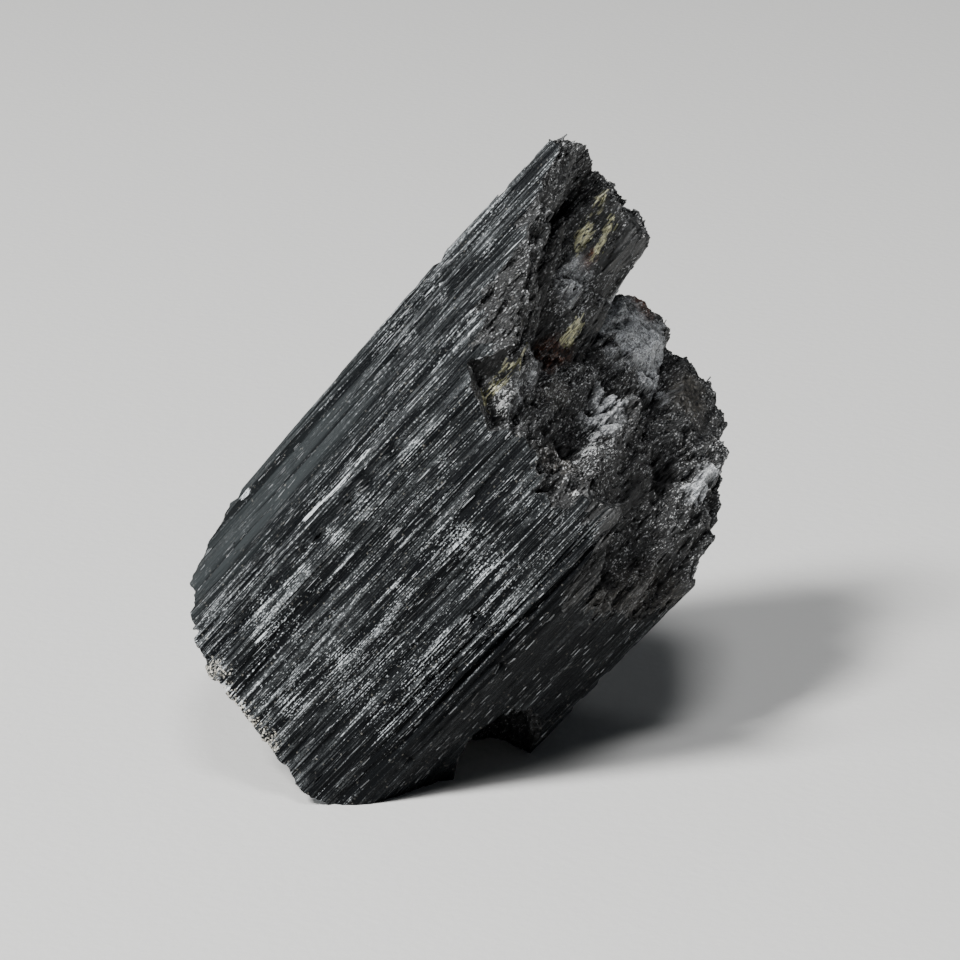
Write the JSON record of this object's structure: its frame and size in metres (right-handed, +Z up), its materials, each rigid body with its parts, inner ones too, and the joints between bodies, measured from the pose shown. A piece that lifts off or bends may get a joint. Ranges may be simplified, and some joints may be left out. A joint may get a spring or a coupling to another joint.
{
  "type": "tourmaline crystal",
  "caption": "Black tourmaline crystal: a thick ribbed prism that leans on its broken foot, with a rough broken top, a standing slab and spur, and a hollow under its lower edge.",
  "frame": {"origin": "centre of the bounding box's base, on the surface that the crystal stands on", "axes": "+Z up; the prism leans from the vertical towards +X by 42 degrees; -Y is the broad ribbed front face, +Y the back"},
  "size_m": [0.0542, 0.0388, 0.0611],
  "materials": {
    "tourmaline_crystal": "satin"
  },
  "bodies": {
    "root": {"tourmaline_crystal": "tourmaline_crystal"}
  },
  "joints": []
}
